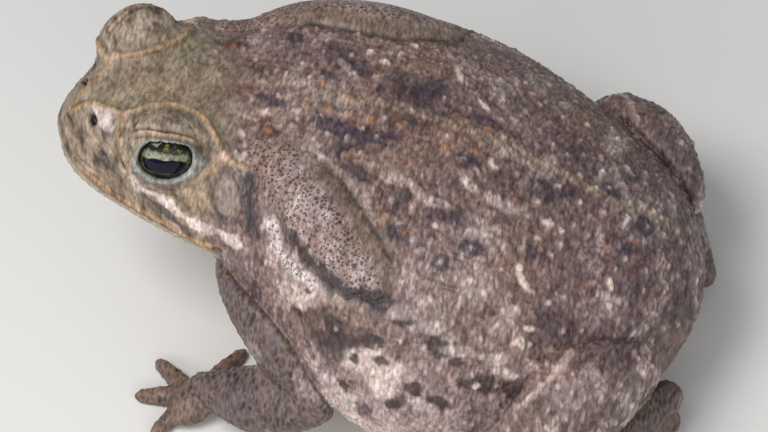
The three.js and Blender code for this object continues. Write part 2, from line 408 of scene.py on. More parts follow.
def joined(rows, count):
    """For each of count numbers, the lowest one that it is linked to. The numbers in a row are linked."""
    label = np.arange(count)
    while True:
        lowest = label[rows].min(axis=1)
        new = label.copy()
        for i in range(rows.shape[1]):
            np.minimum.at(new, rows[:, i], lowest)
        new = new[new]
        if np.array_equal(new, label):
            return label
        label = new


def surface(field):
    """The points and quads of the field's surface, faces out, without inner shells."""
    grid = vdb.FloatGrid(FAR)
    grid.copyFromArray(field.values, ijk=tuple(int(i) for i in field.low))
    grid.transform = vdb.createLinearTransform(voxelSize=field.step)
    points, quads = grid.convertToQuads(isovalue=0)
    quads = quads.astype(np.int64)
    label = joined(quads, len(points))
    names, sizes = np.unique(label, return_counts=True)
    kept = label == names[sizes.argmax()]
    number = np.cumsum(kept) - 1
    return points[kept].astype(float), number[quads[kept[quads[:, 0]]]]


def normals_of(points, quads):
    """The way out of the skin at each point."""
    across = np.cross(points[quads[:, 2]] - points[quads[:, 0]], points[quads[:, 3]] - points[quads[:, 1]])
    total = np.zeros_like(points)
    for corner, axis in np.ndindex(4, 3):
        total[:, axis] += np.bincount(quads[:, corner], across[:, axis], len(points))
    return total / np.maximum(np.linalg.norm(total, axis=1, keepdims=True), 1e-9)


def make_mesh(name, points, quads):
    mesh = bpy.data.meshes.new(name)
    mesh.from_pydata((points * MM).tolist(), [], quads.tolist())
    mesh.shade_smooth()
    piece = bpy.data.objects.new(name, mesh)
    bpy.context.scene.collection.objects.link(piece)
    return piece


# The photo's view of the skin

def photo_axes():
    """The directions right, up and back of the camera."""
    a, e = math.radians(CAMERA_AZIMUTH), math.radians(CAMERA_ELEVATION)
    right = np.array((math.cos(a), math.sin(a), 0))
    back = np.array((math.sin(a) * math.cos(e), -math.cos(a) * math.cos(e), math.sin(e)))
    return right, np.cross(back, right), back


TO_RIGHT, TO_TOP, TO_CAMERA = photo_axes()


def in_photo(points):
    """Pixel coordinates of points, and their depth."""
    local = points - np.array(CAMERA_TARGET)
    depth = CAMERA_DISTANCE - local @ TO_CAMERA
    x = PHOTO_SIZE[0] / 2 + PIXELS_PER_RADIAN * (local @ TO_RIGHT) / depth
    y = PHOTO_SIZE[1] / 2 - PIXELS_PER_RADIAN * (local @ TO_TOP) / depth
    return np.stack([x, y], axis=1), depth


# The trunk's middle line leans to the toad's right at the neck, as in the frame
NECK_LEAN = 6


def lean(points):
    """How far the trunk's middle line lies from y = 0 beside each point."""
    sideways = np.zeros_like(points)
    sideways[:, 1] = NECK_LEAN * (1 - smooth(points[:, 0], -35, 5))
    return sideways


def to_trunk(points):
    return points - lean(points)


def curve(points, count=24):
    """Points along a smooth curve through a few."""
    points = np.asarray(points, float)
    padded = np.concatenate([2 * points[:1] - points[1:2], points, 2 * points[-1:] - points[-2:-1]])
    t = np.linspace(0, len(points) - 1 - 1e-6, count)
    i = t.astype(int)
    f = (t - i)[:, None]
    a, b, c, d = (padded[i + k] for k in range(4))
    return b + 0.5 * f * (c - a + f * (2 * a - 5 * b + 4 * c - d + f * (3 * (b - c) + d - a)))


def tree_of(points):
    tree = KDTree(len(points))
    for number, point in enumerate(points.tolist()):
        tree.insert(point, number)
    tree.balance()
    return tree


def numbers(found):
    """The numbers of the points that a search of a tree found."""
    return np.array([entry[1] for entry in found], int)


# The distance of a point that a line doesn't reach, and how deep under the skin a line reaches
OUT_OF_REACH = 99.0
THROUGH = 5


class Skin:
    """The skin's points and quads. Patterns lie on its ground, which is its form before any detail."""

    def __init__(self, points, quads):
        self.points = points
        self.ground = points
        self.quads = quads
        self.normals = normals_of(points, quads)
        self.facing = self.normals
        self.pixels, self.depth = in_photo(points)
        self.tree = tree_of(points)
        self.seen = tree_of(np.column_stack([self.pixels, np.zeros(len(points))]))
        self.sights = {}

    def lift(self, height):
        """Moves the skin out by height."""
        self.points = self.points + self.normals * height[:, None]
        self.points[:, 2] = np.maximum(self.points[:, 2], 0)
        self.normals = normals_of(self.points, self.quads)

    def seen_at(self, x, y):
        """The number of the point that the photo shows at a pixel, the nearest of those in front."""
        if (x, y) not in self.sights:
            near = numbers(self.seen.find_range((x, y, 0), 2.5) or self.seen.find_n((x, y, 0), 6))
            front = near[self.depth[near] < self.depth[near].min() + 1.5]
            self.sights[x, y] = front[np.abs(self.pixels[front] - (x, y)).sum(axis=1).argmin()]
        return self.sights[x, y]

    def hidden(self, place):
        """Whether the photo doesn't show the skin at a place."""
        number = self.tree.find(place)[1]
        return self.facing[number] @ TO_CAMERA < 0.2 or self.pixels[number, 1] < 0

    def line(self, pixels, side, count=24):
        """A smooth line over the skin through pixels of the photo, or its mirror image."""
        path = curve(self.ground[[self.seen_at(*pixel) for pixel in pixels]], count)
        return path if side == LEFT else other_side(path)

    def to_line(self, line, margin=8):
        """Distance over the skin from a line of points, and how far along the line, from 0 to 1."""
        best = np.full(len(self.ground), OUT_OF_REACH)
        where = np.zeros(len(self.ground))
        low, high = line.min(0) - margin, line.max(0) + margin
        near = np.flatnonzero(np.all((self.ground > low) & (self.ground < high), axis=1))
        points, normals = self.ground[near], self.normals[near]
        closest, along = best[near], where[near]
        for i, (a, b) in enumerate(zip(line[:-1], line[1:])):
            t = np.clip((points - a) @ (b - a) / ((b - a) @ (b - a)), 0, 1)
            gap = points - a - t[:, None] * (b - a)
            depth = (gap * normals).sum(1)
            distance = np.sqrt(np.maximum((gap * gap).sum(1) - 0.9 * depth * depth, 0))
            distance += FAR * (np.abs(depth) > THROUGH)
            nearer = distance < closest
            closest = np.where(nearer, distance, closest)
            along = np.where(nearer, (i + t) / (len(line) - 1), along)
        best[near], where[near] = closest, along
        return best, where


def tapered(along, ends=0.15):
    return smooth(along, -0.02, ends) * smooth(1 - along, -0.02, ends)


def other_side(points):
    """The same points on the toad's right, through the middle of the head or of the trunk."""
    head = to_head(points)
    on_right = (head * (1, -1, 1) - HEAD_PIVOT) @ HEAD_AXES.T + HEAD_PLACE
    on_trunk = to_trunk(points) * (1, -1, 1) + lean(points)
    share = (1 - smooth(head[:, 0], 38, 50))[:, None]
    return on_right * share + on_trunk * (1 - share)


# Places in the photo, in its pixels. Strokes, lines and openings are mirrored to the toad's other side, and
# spots and warts only where the photo doesn't show it.

# Spots: x, y, then half length and half width in mm, and tilt in degrees
BLOTCHES = [
    (349, 17, 2.6, 2.2, 0), (297, 35, 3.2, 2.2, 20), (356, 66, 3.4, 2.4, 30), (330, 74, 3.2, 1.2, 35),
    (270, 99, 4.5, 1.2, 20), (340, 127, 5.5, 2.2, 22), (374, 136, 4, 2.4, 10), (271, 132, 2.2, 1.7, 10),
    (351, 168, 4.2, 2.2, 50), (420, 95, 2.2, 2.4, 0), (487, 123, 4.6, 2.3, 15), (470, 163, 3.4, 1.7, 30),
    (546, 188, 4.4, 3, 20), (645, 228, 2.6, 2.6, 0), (395, 231, 4.4, 2.7, 12), (450, 218, 5.2, 1.7, 14),
    (474, 250, 3.4, 2.2, 30), (441, 262, 2.8, 1.8, 0), (526, 250, 3.2, 2, 30), (610, 190, 3.6, 1.6, 30)]
BROWN_BLOTCHES = [
    (436, 347, 4.4, 2.4, 10), (372, 341, 2.8, 1.8, 20), (332, 326, 2.8, 2.4, 0), (457, 362, 2.2, 1.3, 0),
    (486, 384, 6, 2.4, 12), (380, 361, 2.2, 1.3, 0), (413, 388, 2.6, 1.6, 20), (354, 358, 1.8, 1.2, 60),
    (404, 322, 2.6, 1.2, 10), (515, 392, 3.6, 1.5, -25), (299, 312, 2.4, 1.1, 50), (309, 290, 1.6, 1.2, 0),
    (345, 385, 2.4, 1.4, 60), (440, 405, 3, 1.6, 10), (395, 405, 2, 1.4, 0)]
PALE_SPOTS = [
    (328, 37, 3, 1.7, 0), (347, 68, 4, 1.1, 45), (320, 155, 2.8, 1, 50), (394, 177, 2.8, 1.8, 20),
    (414, 189, 4, 1.2, 35), (437, 201, 3.4, 1.1, 20), (472, 186, 3.6, 1.2, 50), (492, 198, 3.4, 1.4, 35),
    (512, 208, 3.2, 1.9, 30), (600, 236, 1.5, 3, 0), (613, 147, 1.4, 1.4, 0), (629, 171, 1.8, 1, 50),
    (399, 312, 3, 1.6, 0), (476, 289, 2.8, 2.8, 0), (436, 328, 2.6, 1.6, 0), (460, 352, 3.6, 1.2, 10),
    (493, 360, 3, 1.2, 10), (505, 374, 2.4, 1.2, 20), (534, 366, 2, 1.5, 0), (421, 300, 3.6, 1.5, 70),
    (388, 374, 3.4, 1.6, 40), (420, 404, 3.8, 1.3, 20), (474, 232, 2.4, 1.2, 20), (300, 84, 3.4, 1.2, 10)]
# Warts: x, y and radius in mm
ORANGE_WARTS = [
    (306, 105, 1.8), (323, 83, 1.7), (328, 108, 2), (350, 98, 2), (350, 113, 1.7), (370, 118, 2.1),
    (399, 127, 1.8), (457, 117, 1.8), (487, 130, 1.9), (445, 149, 2), (477, 151, 1.7), (232, 47, 1.4),
    (269, 130, 1.3), (346, 155, 1.7), (381, 224, 1.3), (404, 231, 1.4)]
RED_SPOTS = [(234, 44, 3, 1.3, 8), (268, 130, 2.5, 1.5, 10)]
CREAM_SPOTS = [
    (461, 76, 2.4, 0.9, 80), (484, 105, 2.2, 0.8, 45), (549, 222, 1.8, 1, 20), (561, 231, 0.9, 0.9, 0),
    (523, 280, 3.3, 0.9, 66), (611, 284, 1.6, 0.7, 85), (530, 329, 1.8, 0.8, 5), (521, 342, 1.8, 0.8, 80),
    (588, 125, 0.9, 0.8, 0), (372, 52, 1.2, 0.8, 20), (384, 62, 1.2, 0.8, 20), (476, 386, 0.9, 0.8, 0),
    (520, 268, 1.1, 1, 0), (494, 166, 1.2, 0.7, 40), (436, 226, 1, 0.7, 30)]
# Strokes: half width in mm, then points
GLAND_SHADE = (2.3, [(287, 229), (302, 252), (324, 277), (345, 291), (372, 299), (393, 313)])
EARDRUM_SHADE = (2.1, [(248, 172), (250, 195), (250, 220), (256, 243)])
WHITE_BEHIND_EAR = (1.9, [(270, 214), (275, 232), (278, 250), (289, 265), (306, 279), (318, 287)])
SPINE = (1.7, [(196, 62), (262, 78), (330, 92), (433, 117), (521, 152), (604, 196), (653, 215), (690, 250)])
UNDER_EYE = (1.6, [(129, 163), (139, 185), (157, 196), (171, 206), (186, 219), (205, 229), (229, 238),
                   (250, 252)])
CHEEK_STRIPE = (1.0, [(139, 191), (152, 202), (165, 211), (178, 223), (187, 231)])
LIP_LINE = (0.55, [(76, 161), (95, 180), (120, 197), (140, 209), (165, 223), (178, 231), (203, 243),
                   (228, 251)])
UNDER_LIP = (0.5, [(74, 164), (93, 183), (119, 200), (139, 212), (164, 226), (178, 234), (203, 246),
                   (228, 254)])
CREAM_FLANK = (6.5, [(290, 292), (320, 322), (360, 356), (405, 392)])
THIGH_STRIPE = (1.0, [(512, 412), (535, 393), (556, 372), (572, 347)])
LID_FOLD = [(128, 135), (146, 132), (165, 134), (184, 137), (201, 146)]
NOSE_PATCH = [(101, 117, 3, 1.7, 15), (108, 126, 2.4, 1.6, 50)]
NOSTRIL = (93, 121)
EARDRUM = (226, 196)
# Ridges in front of the eye, behind it and over the eardrum
PREORBITAL = [(123, 119), (121, 132), (122, 147), (126, 161), (132, 172)]
POSTORBITAL = [(222, 159), (214, 166), (203, 177)]
OVER_EARDRUM = [(222, 159), (236, 163), (250, 172)]
# Wrinkles of the face, then of the forearm
FOLDS = [
    [(84, 132), (98, 148), (113, 167)], [(70, 146), (87, 166), (103, 177)],
    [(99, 136), (111, 150), (120, 166)], [(196, 368), (192, 385), (200, 402)],
    [(214, 358), (210, 380), (219, 404)], [(232, 352), (230, 378), (240, 406)]]
# The gland's middle line, and its half width along it
GLAND = [(258, 147), (275, 160), (298, 188), (324, 223), (345, 251), (367, 276), (374, 285)]
GLAND_WIDTH = ((0, 0.15, 0.38, 0.65, 0.85, 1), (3.2, 6.2, 8.3, 7.6, 6, 3))

# The ridges that both sides of the head show, in the head's frame, for the side where y is positive
BROW = [(12.2, 8.7, 20.8), (17.5, 8.5, 21.8), (22.3, 9.3, 23), (25.5, 10.7, 23.2), (28.4, 12.7, 22.6),
        (30.4, 16, 22), (32.1, 20.4, 18.4)]
CANTHUS = [(11.6, 8.5, 20.8), (8.3, 5.2, 19.4), (5.6, 2.5, 17.7), (2.9, 0.9, 15), (0.5, 0.2, 12)]
# Half widths and heights
EARDRUM_SIZE = (2.6, 3.7)
NOSTRIL_SIZE = (0.7, 1.1)
# Where the ridges swell, and how wide
KNOBS = (((12.2, 8.8, 20.8), 1.8), ((32.1, 20.5, 18.4), 2.1))
# The mouth's line: x, then z
MOUTH = ((0, 5.5), (4, 3.4), (8, 1.8), (16, 0.5), (30, -2.6), (42, -4.6))


def head_line(points, side):
    return np.array([on_head(mirrored(point, side)) for point in curve(points)])


def shape_head(skin, masks):
    """Presses the ridges of the head into the skin."""
    height = np.zeros(len(skin.points))
    ridge = np.zeros_like(height)
    for side in BOTH:
        ridges = [(head_line(BROW, side), 1.6, 1.0), (head_line(CANTHUS, side), 1.5, 0.8),
                  (skin.line(PREORBITAL, side), 1.3, 0.7), (skin.line(POSTORBITAL, side), 1.4, 0.8),
                  (skin.line(OVER_EARDRUM, side), 1.5, 0.8)]
        for line, width, rise in ridges:
            distance, along = skin.to_line(line)
            crest = bump(distance + 0.4 * width * skin.rough, width) * (0.55 + 0.45 * tapered(along))
            height = np.maximum(height, crest * rise)
            ridge = np.maximum(ridge, crest)
            height -= 0.3 * bump(distance - width * 1.15, 0.9) * tapered(along) * (distance > width * 0.6)
        for knob, size in KNOBS:
            near = bump(np.linalg.norm(skin.ground - on_head(mirrored(knob, side)), axis=1), size + 1)
            height = np.maximum(height, near)
            masks.add("knob", near)
    masks.ridge = ridge
    skin.lift(height)


def shape_mouth(skin, masks):
    """The mouth's groove, with the upper lip over it and the jaw set back under it."""
    head = to_head(skin.ground)
    x = head[:, 0]
    up = head[:, 2] - np.interp(x, *zip(*MOUTH))
    reach = (1 - smooth(x, 38, 44)) * smooth(masks.head, 0.3, 0.7)
    lip = bump(up - 1.1, 1.5) * 0.3
    groove = bump(up, 0.75) * -1.0
    jaw = smooth(-up, 0, 1.2) * (1 - smooth(-up, 5, 12)) * -0.5
    masks.mouth = bump(up, 0.8) * reach
    masks.lip = smooth(up, -0.3, 0.3) * (1 - smooth(up + 0.6 * skin.rough, 0.7, 1.7)) * reach
    masks.jaw = smooth(-up, 0, 1) * masks.head * (1 - smooth(x + 4 * skin.rough, 32, 46))
    skin.lift((lip + groove + jaw) * reach)


def shape_openings(skin, masks):
    """Eardrums and nostrils."""
    height = np.zeros(len(skin.points))
    head = to_head(skin.ground)
    eardrum, nostril = to_head(skin.ground[[skin.seen_at(*EARDRUM), skin.seen_at(*NOSTRIL)]])
    for side in BOTH:
        local = head * (1, -side, 1) - eardrum
        oval = np.hypot(local[:, 0] / EARDRUM_SIZE[0] - local[:, 2] * 0.04, local[:, 2] / EARDRUM_SIZE[1])
        oval += FAR * (np.abs(local[:, 1]) > 5)
        masks.add("eardrum", 1 - smooth(oval + 0.1 * skin.rough, 0.85, 1.05))
        masks.add("ear_ring", bump(oval - 1.1, 0.3))
        height += 0.35 * bump(oval - 1.15, 0.3) - 0.45 * (1 - smooth(oval, 0.75, 1.0))
        local = head * (1, -side, 1) - nostril
        long = (local[:, 2] + 0.3 * local[:, 0]) / NOSTRIL_SIZE[1]
        slit = np.hypot((local[:, 0] - 0.4 * local[:, 2]) / NOSTRIL_SIZE[0], long)
        slit += FAR * (np.abs(local[:, 1]) > 4)
        masks.add("nostril", 1 - smooth(slit, 0.7, 1.2))
        height += 0.35 * bump(slit - 1.7, 1.0) - 1.4 * (1 - smooth(slit, 0.35, 1.2))
    skin.lift(height)


def shape_lids(skin, masks):
    """The rims and folds of the eyelids."""
    height = np.zeros(len(skin.points))
    for side in BOTH:
        local = eye_frame(skin.ground, side)
        radius = np.linalg.norm(local, axis=1)
        near = (1 - smooth(radius, 10.5, 12)) * (local[:, 2] > -2)
        edge = opening_edge(local[:, 0], local[:, 1])
        corner = 1.5 * bump(local[:, 0] + 8.2, 3.5) * bump(local[:, 1] - 0.3, 3)
        width = 0.15 + 0.6 * smooth(-local[:, 1], -1, 2.5) + corner + 0.3 * skin.rough
        masks.add("rim", (1 - smooth(edge - width, -0.3, 0.4)) * near)
        masks.add("lid", smooth(local[:, 1], 0.5, 2) * near * smooth(edge, 0.2, 1))
        distance, along = skin.to_line(skin.line(LID_FOLD, side))
        fold = bump(distance, 0.8) * tapered(along, 0.2)
        masks.add("fold", fold)
        under = bump(distance - 0.9, 0.7) * tapered(along, 0.2) * smooth(2.6 - edge, -0.5, 0.5)
        masks.add("under_fold", under)
        height += 0.35 * fold - 0.45 * under
        lower = smooth(-local[:, 1], 0, 1.5) * near
        height += 0.2 * np.sin(edge * 3.4) * bump(edge - 4.5, 3.5) * lower
    skin.lift(height)


def shape_folds(skin):
    """Wrinkles of the face and the forearm."""
    height = np.zeros(len(skin.points))
    for fold in FOLDS:
        for side in BOTH:
            distance, along = skin.to_line(skin.line(fold, side))
            height += (0.3 * bump(distance - 0.9, 0.8) - 0.35 * bump(distance, 0.6)) * tapered(along, 0.3)
    skin.lift(height)


def shape_glands(skin, masks):
    """Swells the glands between a crease above and a groove below, and lays out a plane for their pores."""
    height = np.zeros(len(skin.points))
    skin.plane = np.zeros_like(skin.ground)
    for side in BOTH:
        line = skin.line(GLAND, side, 40)
        distance, along = skin.to_line(line, 16)
        axis = line[-1] - line[0]
        axis = axis / np.linalg.norm(axis)
        out = skin.normals[skin.tree.find(line[20])[1]]
        across = np.cross(axis, out)
        across *= -side * np.sign(across[1])
        stations = np.linspace(0, 1, len(line))
        closest = np.stack([np.interp(along, stations, line[:, k]) for k in range(3)], axis=1)
        sign = np.sign((skin.ground - closest) @ across)
        cross = sign * (distance + 0.5 * skin.rough) / np.interp(along, *GLAND_WIDTH)
        near = distance < 16
        cover = (1 - smooth(np.abs(cross) + 0.15 * skin.rough, 0.78, 1.08)) * near
        masks.add("gland", cover)
        behind = near * smooth(along, 0.12, 0.4)
        rim = smooth(cross + 0.2 * skin.rough, 0.3, 0.8) * (1 - smooth(cross, 1.05, 1.6))
        masks.add("gland_rim", rim * behind)
        masks.add("crease", bump(cross - 1.14, 0.12) * behind)
        dome = np.maximum(1 - cross ** 2, 0) * 0.9
        crease = 0.7 * bump(cross - 1.15, 0.2) * behind * tapered(along, 0.15)
        groove = 0.5 * bump(cross + 1.15, 0.25) * smooth(along, 0.1, 0.4)
        height += np.where(near, dome - crease - groove, 0)
        offset = skin.ground - line[0]
        place = np.stack([offset @ axis, offset @ across, np.zeros(len(offset))], axis=1)
        skin.plane = np.where((distance < 20)[:, None], place, skin.plane)
    skin.lift(height)


# Warts

# Make one number of a cell's three
CELL_PLACES = (1, 4096, 4096 ** 2)


def scattered(points, spacing, chance):
    """Numbers of points about spacing apart, fewer where chance is low."""
    order = RANDOM.permutation(len(points))
    cell = np.floor(points[order] / spacing).astype(np.int64)
    first = np.unique(cell @ CELL_PLACES, return_index=True)[1]
    picked = order[first]
    picked = picked[RANDOM.random(len(picked)) < chance[picked]]
    tree = tree_of(points[picked])
    kept = np.ones(len(picked), bool)
    for number, point in enumerate(points[picked]):
        if kept[number]:
            kept[numbers(tree.find_range(point, 0.62 * spacing))] = False
            kept[number] = True
    return picked[kept]


def domes(skin, picked, radius, stretch=1.0):
    """How near each point is to the top of a wart, from 0 to 1. Stretch narrows the warts along x."""
    cover = np.zeros(len(skin.points))
    for number, size in zip(picked, radius):
        site = skin.ground[number]
        near = numbers(skin.tree.find_range(site, size))
        gap = (skin.ground[near] - site) * (stretch, 1, 1)
        cover[near] = np.maximum(cover[near], bump(np.linalg.norm(gap, axis=1), size))
    return cover


def marked_warts(skin, entries):
    """The warts at some pixels of the photo, and their copies on the other side."""
    seeds = skin.ground[[skin.seen_at(x, y) for x, y, size in entries]]
    sizes = [size for x, y, size in entries]
    copies = [(seed, size) for seed, size in zip(other_side(seeds), sizes) if skin.hidden(seed)]
    placed = [*zip(seeds, sizes), *copies]
    return domes(skin, [skin.tree.find(seed)[1] for seed, size in placed], [size for seed, size in placed])


class Masks:
    """How much of each feature is at each point, from 0 to 1."""

    def add(self, name, cover):
        setattr(self, name, np.maximum(getattr(self, name, 0), cover))


def measure(skin):
    """Which part of the body each point is on, from 0 to 1."""
    masks = Masks()
    distance = {name: field_of([name], 1.2, 6, below=False).at(skin.points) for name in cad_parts}

    def share(parts, softness):
        own = [f for name, f in distance.items() if name.startswith(parts)]
        rest = [f for name, f in distance.items() if not name.startswith(parts + ("eye",))]
        return smooth(np.min(rest, axis=0) - np.min(own, axis=0), -softness, softness)

    masks.head = share(("head", "eye"), 1.5)
    masks.limb = share(("upper_arm", "forearm", "hand", "shank", "foot"), 1.0)
    masks.hand = share(("hand", "foot"), 2)
    return masks


def lay_grain(skin, masks):
    """The grains, folds and roughness that shapes and colours share."""
    trunk = to_trunk(skin.ground)
    grain, beyond, tint = cells(trunk * (1, 0.45, 0.45) + 0.5 * noise(trunk, 3, 8)[:, None], 1.1, 3)
    along = fractal(trunk * (0.22, 0.8, 0.8) + 0.5 * noise(trunk, 9, 13)[:, None], 2.6, 110, 2)
    skin.rough = 0.85 * fractal(skin.ground, 4, 60, 4) + 0.35 * (tint - 0.5)
    masks.tint = tint
    masks.valley = smooth(beyond - grain, 0, 0.5)
    masks.folds = 1 - smooth(np.abs(along), 0, 0.1)
    back = to_head(skin.ground)[:, 0]
    masks.face = masks.head * (1 - smooth(back + 6 * skin.rough, 29, 44))


def shape_warts(skin, masks):
    """Warts, the beads between them, and the relief of the grains and folds."""
    bare = np.clip(masks.rim + masks.eardrum + masks.nostril + masks.mouth, 0, 1)
    open_skin = (1 - bare) * (1 - 0.9 * masks.gland)
    arm = masks.limb * (1 - masks.hand)
    body = (1 - masks.face) * (1 - masks.gland) * (1 - masks.limb)
    up = smooth(skin.normals[:, 2], 0.1, 0.6)
    rear = smooth(to_trunk(skin.ground)[:, 0], 0, 40)
    large = scattered(skin.ground, 5.2, body * (0.35 + 0.25 * up + 0.4 * rear) + 0.1 * arm)
    masks.wart = domes(skin, large, RANDOM.uniform(1.1, 1.9, len(large)), 1.25)
    chance = 0.9 * body + 0.5 * masks.limb + 0.35 * masks.head * (1 - masks.ridge)
    chance += 0.4 * masks.lid
    small = scattered(skin.ground, 1.9, chance * open_skin)
    masks.bead = domes(skin, small, RANDOM.uniform(0.6, 1.05, len(small)), 1.3)
    masks.orange = marked_warts(skin, ORANGE_WARTS)
    masks.cream = spots(skin, CREAM_SPOTS, 0.4)
    rise = 0.42 * masks.wart + 0.2 * masks.bead + 0.5 * masks.orange + 0.4 * masks.cream
    relief = (0.17 * body + 0.06 * masks.face - 0.1 * arm) * (0.6 + 0.8 * masks.tint)
    rise += (masks.valley - 0.5) * relief - 0.15 * masks.folds * body
    skin.lift(rise * open_skin)


def grow_skin():
    """The whole skin in its final form, and its masks."""
    skin = Skin(*surface(body_field()))
    masks = measure(skin)
    lay_grain(skin, masks)
    shape_glands(skin, masks)
    shape_folds(skin)
    shape_head(skin, masks)
    shape_mouth(skin, masks)
    shape_openings(skin, masks)
    shape_lids(skin, masks)
    shape_warts(skin, masks)
    return skin, masks


# Colours

def linear(code):
    """The linear colour of an sRGB code such as 7f7562."""
    channels = np.array([int(code[i:i + 2], 16) / 255 for i in (0, 2, 4)])
    return np.where(channels <= 0.04045, channels / 12.92, ((channels + 0.055) / 1.055) ** 2.4)


# For each coat the colour between its grains and on them. Where the hill follows the grains, the first is
# partly painted shade in the hollows and the second partly painted light on the tops
COATS = {
    "back": ("4a3a3a", "a38982"),
    "warm": ("584335", "b0907a"),
    "flank": ("594748", "bfa9a9"),
    "low_flank": ("8a6c62", "e8cfc2"),
    "belly": ("8f7d66", "cdbd9f"),
    "crown": ("52463b", "958671"),
    "face": ("36271f", "a18d78"),
    "lid": ("4a3c30", "a99784"),
    "limb": ("150d0d", "6c5a54"),
    "hand": ("33261f", "7c6455"),
    "gland": ("6c5650", "bda8a3"),
    "gland_front": ("684f43", "b3968a"),
    "blotch": ("281f28", "5d4d54"),
    "brown_blotch": ("251816", "4e3a36"),
    "cream_pink": ("b0958b", "f4e6dd"),
    "rust": ("3d221d", "97695a"),
    "red": ("3f1d1b", "8d5146"),
    "pale": ("9a8681", "e8d6cf"),
    "stripe": ("705f4e", "b5a38a"),
    "crest": ("86603a", "caa37a"),
    "knob": ("a98070", "dcb8a8"),
    "orange": ("744c36", "c09170"),
    "cream": ("b39c8a", "e9dccf"),
    "rim": ("696a68", "a3a49f"),
    "eardrum": ("5f5148", "9c8a82"),
    "olive": ("5c4b3c", "887565"),
    # painted shade inside the glands' pores
    "shade": ("211a1c", "4f4040"),
    "pore": ("2c2024", "4b3a3c"),
    # painted shade for the insides of the nostrils and the mouth's groove
    "dark": ("0c0908", "1f1714"),
    "lip": ("6f5238", "c4a283"),
    "white": ("a2928f", "e8dad6"),
    "iris": ("090a07", "2a2c1a"),
    "gold": ("33311b", "8d8455"),
    # painted reflection of the sky, laid as a paler band over the pupil
    "painted_sky_reflection": ("5f6150", "b4b79f"),
    "pupil": ("02040e", "060d24"),
}


class Paint:
    """One colour for each point, laid on in coats."""

    def __init__(self, hill):
        self.hill = np.clip(hill, 0, 1)[:, None]
        self.colour = np.zeros((len(hill), 3))

    def lay(self, coat, cover=1.0):
        """Covers the points with a coat, its first colour in the hollows and its second on the hills; where
        the hill follows the relief, this is painted shade and painted light.
        """
        low, high = (linear(code) for code in COATS[coat])
        cover = np.clip(cover * np.ones(len(self.colour)), 0, 1)[:, None]
        self.colour = self.colour * (1 - cover) + (low + (high - low) * self.hill) * cover


def stroke(skin, width, pixels, ragged=0.6, sides=BOTH):
    """How much of a stroke covers each point, from 0 to 1."""
    cover = np.zeros(len(skin.points))
    for side in sides:
        distance, along = skin.to_line(skin.line(pixels, side), 1.8 * width + 4)
        distance = distance + ragged * width * skin.rough
        cover = np.maximum(cover, (1 - smooth(distance, 0.5 * width, 1.1 * width)) * tapered(along, 0.08))
    return cover


def spots(skin, entries, ragged=0.7):
    """How much of a set of spots covers each point, from 0 to 1."""
    cover = np.zeros(len(skin.points))
    for x, y, long, wide, tilt in entries:
        tilt = math.radians(tilt)
        tip = (x + 9 * math.cos(tilt), y + 9 * math.sin(tilt))
        for side in BOTH:
            middle, end = skin.line([(x, y), tip], side, 2)
            if side == RIGHT and not skin.hidden(middle):
                continue
            axis = (end - middle) / np.linalg.norm(end - middle)
            near = numbers(skin.tree.find_range(middle, 1.8 * long))
            gap = skin.ground[near] - middle
            along = gap @ axis
            across = np.sqrt(np.maximum((gap * gap).sum(1) - along * along, 0))
            distance = np.hypot(along / long, across / wide) + ragged * skin.rough[near]
            cover[near] = np.maximum(cover[near], 1 - smooth(distance, 0.6, 1.2))
    return cover


def paint_body(skin, masks, paint, hill):
    """The colours of the back, flanks and belly. Returns the noise of the pale and dark patches."""
    trunk = to_trunk(skin.ground)
    rough = skin.rough
    broad = fractal(skin.ground, 22, 40)
    patch = fractal(trunk * (1, 0.65, 0.65), 7, 50, 5) + 0.14 * (masks.tint - 0.5)
    level = trunk[:, 2] + 6 * rough - 3 * broad
    low = smooth(-level, -36, -24)
    forward = 1 - smooth(trunk[:, 0], 10, 55)
    paint.lay("back")
    paint.lay("warm", 0.6 * smooth(broad, -0.2, 0.5))
    paint.lay("flank", 0.85 * smooth(-level, -46, -32) * forward)
    paint.lay("low_flank", 0.9 * smooth(-level, -27, -18) * forward)
    under = smooth(-skin.facing[:, 2] + 0.4 * rough, 0.2, 0.7)
    under += smooth(-skin.ground[:, 2] + 3 * rough, -9, -3)
    paint.lay("belly", under)
    paint.lay("brown_blotch", 0.5 * under * smooth(-patch, 0.02, 0.3))
    paint.lay("blotch", 0.42 * smooth(trunk[:, 0] + 8 * rough, 22, 56) * (1 - 0.5 * low))
    # Stronger where the hill is high, on the grain tops: partly painted light
    grained = 0.5 + 0.5 * smooth(hill, 0.3, 0.7)
    paint.lay("pale", (0.5 + 0.45 * low) * smooth(patch, 0.05, 0.36) * grained)
    paint.lay("blotch", 0.7 * smooth(-patch, 0.2, 0.42) * (1 - low))
    spread = fractal(trunk * (1, 0.65, 0.65), 4.5, 55, 4)
    flank = np.maximum(low * smooth(-trunk[:, 0], -45, 10), stroke(skin, *CREAM_FLANK))
    paint.lay("rust", 0.6 * masks.folds * (1 - low))
    paint.lay("cream_pink", 0.8 * flank * smooth(spread, -0.25, 0.15))
    paint.lay("brown_blotch", 0.6 * smooth(-spread, 0.1, 0.32) * np.maximum(low, flank) * (1 - under))
    paint.lay("stripe", 0.75 * stroke(skin, *SPINE, sides=(LEFT,)) * grained)
    paint.lay("blotch", 0.85 * spots(skin, BLOTCHES, 1.0))
    paint.lay("brown_blotch", 0.9 * spots(skin, BROWN_BLOTCHES, 1.0))
    paint.lay("pale", 0.9 * spots(skin, PALE_SPOTS, 1.0) * grained)
    paint.lay("low_flank", 0.7 * stroke(skin, *THIGH_STRIPE, ragged=1.2))
    paint.lay("pale", 0.35 * smooth(masks.wart, 0.5, 0.9) * (masks.tint > 0.35))
    return patch


